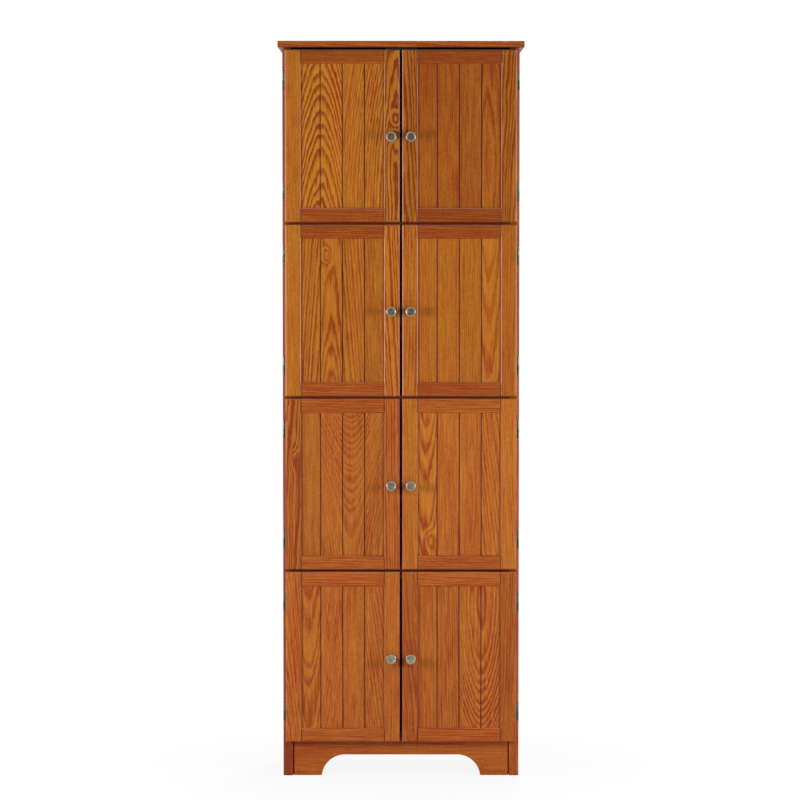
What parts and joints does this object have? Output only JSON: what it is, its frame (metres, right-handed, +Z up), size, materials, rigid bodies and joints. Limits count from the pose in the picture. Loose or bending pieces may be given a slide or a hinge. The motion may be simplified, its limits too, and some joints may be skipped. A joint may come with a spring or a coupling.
{
  "type": "tall storage cabinet",
  "caption": "Tall narrow freestanding storage cabinet in honey-stained wood, with tiers of paired grooved-panel doors, round metal knobs, small side hinges and an arched base.",
  "frame": {"origin": "on the floor under the middle of the cabinet's overall box, knobs included", "axes": "+Z up along the cabinet's height, -Y out of the doors' faces, +X to the right seen from the front"},
  "size_m": [0.61, 0.338, 1.829],
  "materials": {
    "stained_board": "satin lacquer over honey stain",
    "stained_frame": "satin lacquer over honey stain",
    "stained_panel": "satin lacquer over honey stain",
    "shelf_board": "satin lacquer over honey stain",
    "back_hardboard": "bare hardboard",
    "pewter_knob": "brushed pewter plate",
    "hinge_steel": "nickel plate",
    "screw_steel": "zinc plate",
    "cam_zinc": "bare zinc casting",
    "catch_plastic": "moulded",
    "magnet_ferrite": "bare ferrite",
    "dowel_beech": "bare"
  },
  "bodies": {
    "cabinet": {"top_board": "stained_board", "left_side_panel": "stained_board", "right_side_panel": "stained_board", "base_apron": "stained_board", "bottom_board": "shelf_board", "lower_shelf": "shelf_board", "middle_shelf": "shelf_board", "upper_shelf": "shelf_board", "lower_back_panel": "back_hardboard", "upper_back_panel": "back_hardboard", "frame_hinge_leaves": "hinge_steel", "hinge_pins": "hinge_steel", "frame_hinge_screws": "screw_steel", "cam_locks": "cam_zinc", "cam_bolts": "screw_steel", "dowels": "dowel_beech", "catch_housings": "catch_plastic", "catch_magnets": "magnet_ferrite", "carcass_screws": "screw_steel", "back_panel_nails": "screw_steel"},
    "top_left_door": {"top_left_door_frame": "stained_frame", "top_left_door_panel": "stained_panel", "top_left_door_knob": "pewter_knob", "top_left_door_hinge_leaves": "hinge_steel", "top_left_door_fixings": "screw_steel"},
    "top_right_door": {"top_right_door_frame": "stained_frame", "top_right_door_panel": "stained_panel", "top_right_door_knob": "pewter_knob", "top_right_door_hinge_leaves": "hinge_steel", "top_right_door_fixings": "screw_steel"},
    "upper_left_door": {"upper_left_door_frame": "stained_frame", "upper_left_door_panel": "stained_panel", "upper_left_door_knob": "pewter_knob", "upper_left_door_hinge_leaves": "hinge_steel", "upper_left_door_fixings": "screw_steel"},
    "upper_right_door": {"upper_right_door_frame": "stained_frame", "upper_right_door_panel": "stained_panel", "upper_right_door_knob": "pewter_knob", "upper_right_door_hinge_leaves": "hinge_steel", "upper_right_door_fixings": "screw_steel"},
    "lower_left_door": {"lower_left_door_frame": "stained_frame", "lower_left_door_panel": "stained_panel", "lower_left_door_knob": "pewter_knob", "lower_left_door_hinge_leaves": "hinge_steel", "lower_left_door_fixings": "screw_steel"},
    "lower_right_door": {"lower_right_door_frame": "stained_frame", "lower_right_door_panel": "stained_panel", "lower_right_door_knob": "pewter_knob", "lower_right_door_hinge_leaves": "hinge_steel", "lower_right_door_fixings": "screw_steel"},
    "bottom_left_door": {"bottom_left_door_frame": "stained_frame", "bottom_left_door_panel": "stained_panel", "bottom_left_door_knob": "pewter_knob", "bottom_left_door_hinge_leaves": "hinge_steel", "bottom_left_door_fixings": "screw_steel"},
    "bottom_right_door": {"bottom_right_door_frame": "stained_frame", "bottom_right_door_panel": "stained_panel", "bottom_right_door_knob": "pewter_knob", "bottom_right_door_hinge_leaves": "hinge_steel", "bottom_right_door_fixings": "screw_steel"}
  },
  "joints": [
    {"name": "top_left_door_hinge", "type": "hinge", "parent": "cabinet", "child": "top_left_door", "pos_m": [-0.2915, -0.1252, 1.59525], "axis": [0, 0, -1], "range_deg": [0, 180]},
    {"name": "top_right_door_hinge", "type": "hinge", "parent": "cabinet", "child": "top_right_door", "pos_m": [0.2915, -0.1252, 1.59525], "axis": [0, 0, 1], "range_deg": [0, 180]},
    {"name": "upper_left_door_hinge", "type": "hinge", "parent": "cabinet", "child": "upper_left_door", "pos_m": [-0.2915, -0.1252, 1.16345], "axis": [0, 0, -1], "range_deg": [0, 180]},
    {"name": "upper_right_door_hinge", "type": "hinge", "parent": "cabinet", "child": "upper_right_door", "pos_m": [0.2915, -0.1252, 1.16345], "axis": [0, 0, 1], "range_deg": [0, 180]},
    {"name": "lower_left_door_hinge", "type": "hinge", "parent": "cabinet", "child": "lower_left_door", "pos_m": [-0.2915, -0.1252, 0.73165], "axis": [0, 0, -1], "range_deg": [0, 180]},
    {"name": "lower_right_door_hinge", "type": "hinge", "parent": "cabinet", "child": "lower_right_door", "pos_m": [0.2915, -0.1252, 0.73165], "axis": [0, 0, 1], "range_deg": [0, 180]},
    {"name": "bottom_left_door_hinge", "type": "hinge", "parent": "cabinet", "child": "bottom_left_door", "pos_m": [-0.2915, -0.1252, 0.29985], "axis": [0, 0, -1], "range_deg": [0, 180]},
    {"name": "bottom_right_door_hinge", "type": "hinge", "parent": "cabinet", "child": "bottom_right_door", "pos_m": [0.2915, -0.1252, 0.29985], "axis": [0, 0, 1], "range_deg": [0, 180]}
  ]
}
